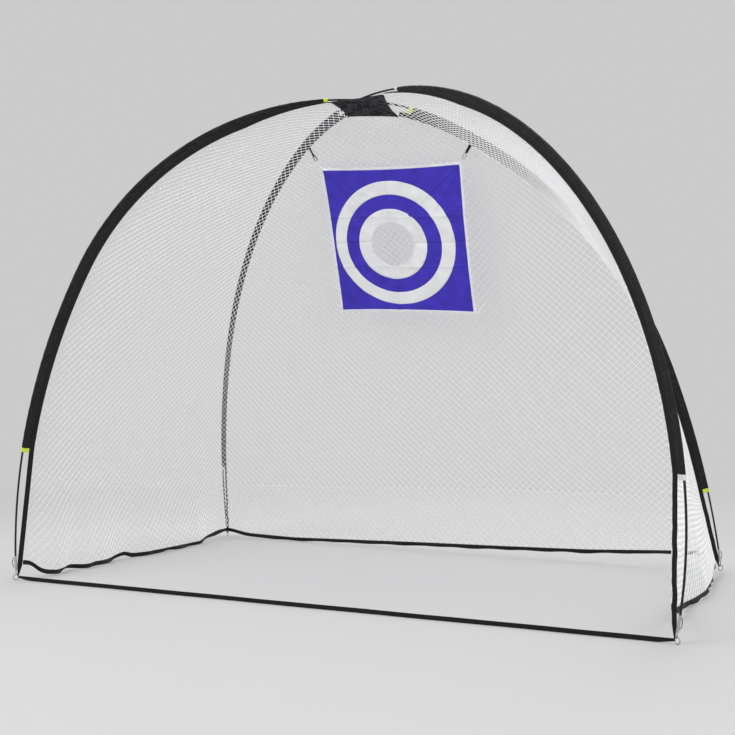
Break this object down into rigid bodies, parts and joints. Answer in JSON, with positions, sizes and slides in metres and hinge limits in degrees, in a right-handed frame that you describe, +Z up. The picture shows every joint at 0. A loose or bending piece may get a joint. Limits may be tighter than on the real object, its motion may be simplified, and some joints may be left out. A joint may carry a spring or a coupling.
{
  "type": "golf chipping net",
  "caption": "Free-standing chipping net: two crossed bent poles in cloth sleeves carry net walls with an open front and a hanging cloth target with a round hole.",
  "frame": {"origin": "on the ground, at the middle of the strap between the two front feet", "axes": "+Z up, +X to the right seen from the open front, +Y from the open front towards the back net"},
  "size_m": [3.1184, 2.1132, 2.3747],
  "materials": {
    "fibreglass": "black resin-coated fibreglass rod, satin gloss",
    "steel_ferrule": "plain bright tube",
    "steel_wire": "bright plated wire",
    "shock_cord": "braided elastic cord",
    "sleeve_cloth": "black woven polyester with a soft sheen",
    "webbing": "black woven webbing",
    "net_twine": "white knotted twine mesh, see-through",
    "target_cloth": "violet-blue woven polyester",
    "white_cloth": "white woven polyester",
    "white_cord": "white braided cord",
    "yellow_cloth": "yellow-green binding",
    "grey_cloth": "light grey binding"
  },
  "bodies": {
    "frame": {"back_hem_tape": "webbing", "back_net": "net_twine", "crown_patch": "sleeve_cloth", "first_pole_crown_section": "fibreglass", "first_pole_joint_ferrules": "steel_ferrule", "first_pole_shock_cord": "shock_cord", "foot_elastic_loops": "webbing", "front_ground_strap": "webbing", "front_left_edge_tape": "webbing", "front_left_end_ferrule": "steel_ferrule", "front_left_pin": "steel_wire", "front_left_pole_section_1": "fibreglass", "front_left_pole_section_2": "fibreglass", "front_left_pole_section_3": "fibreglass", "front_left_sleeve": "sleeve_cloth", "front_right_edge_tape": "webbing", "front_right_end_ferrule": "steel_ferrule", "front_right_pin": "steel_wire", "front_right_pole_section_1": "fibreglass", "front_right_pole_section_2": "fibreglass", "front_right_pole_section_3": "fibreglass", "front_right_sleeve": "sleeve_cloth", "grey_sleeve_tags": "grey_cloth", "left_hem_tape": "webbing", "left_net": "net_twine", "rear_left_edge_tape": "webbing", "rear_left_end_ferrule": "steel_ferrule", "rear_left_pin": "steel_wire", "rear_left_pole_section_1": "fibreglass", "rear_left_pole_section_2": "fibreglass", "rear_left_pole_section_3": "fibreglass", "rear_left_sleeve": "sleeve_cloth", "rear_right_edge_tape": "webbing", "rear_right_end_ferrule": "steel_ferrule", "rear_right_pin": "steel_wire", "rear_right_pole_section_1": "fibreglass", "rear_right_pole_section_2": "fibreglass", "rear_right_pole_section_3": "fibreglass", "rear_right_sleeve": "sleeve_cloth", "right_hem_tape": "webbing", "right_net": "net_twine", "second_pole_crown_section": "fibreglass", "second_pole_joint_ferrules": "steel_ferrule", "second_pole_shock_cord": "shock_cord", "target_corner_ties": "white_cord", "yellow_sleeve_tags": "yellow_cloth"},
    "front_left_ring": {"front_left_ring": "steel_wire"},
    "front_right_ring": {"front_right_ring": "steel_wire"},
    "rear_right_ring": {"rear_right_ring": "steel_wire"},
    "rear_left_ring": {"rear_left_ring": "steel_wire"},
    "target": {"target_cloth": "target_cloth", "target_binding": "white_cloth", "target_ring": "white_cloth", "target_disc": "white_cloth", "left_hanger_loop": "webbing", "right_hanger_loop": "webbing", "left_hanger_cord": "white_cord", "right_hanger_cord": "white_cord"}
  },
  "joints": [
    {"name": "target_swing", "type": "hinge", "parent": "frame", "child": "target", "pos_m": [-0.0449, 0.99335, 2.19302], "axis": [0.9979, 0.022, -0.0605], "range_deg": [0, 11], "deforming": ["target_corner_ties"]},
    {"name": "front_left_ring_turn", "type": "hinge", "parent": "frame", "child": "front_left_ring", "pos_m": [-1.52426, -0.00689, 0.01495], "axis": [0.5413, -0.8359, -0.0907], "continuous": true},
    {"name": "front_right_ring_turn", "type": "hinge", "parent": "frame", "child": "front_right_ring", "pos_m": [1.52404, -0.00723, 0.01491], "axis": [0.5398, 0.8336, 0.1174], "continuous": true},
    {"name": "rear_right_ring_turn", "type": "hinge", "parent": "frame", "child": "rear_right_ring", "pos_m": [1.52574, 1.96811, 0.01495], "axis": [-0.5413, 0.8359, 0.0907], "continuous": true},
    {"name": "rear_left_ring_turn", "type": "hinge", "parent": "frame", "child": "rear_left_ring", "pos_m": [-1.52596, 1.96777, 0.01491], "axis": [-0.5398, -0.8336, -0.1174], "continuous": true}
  ]
}
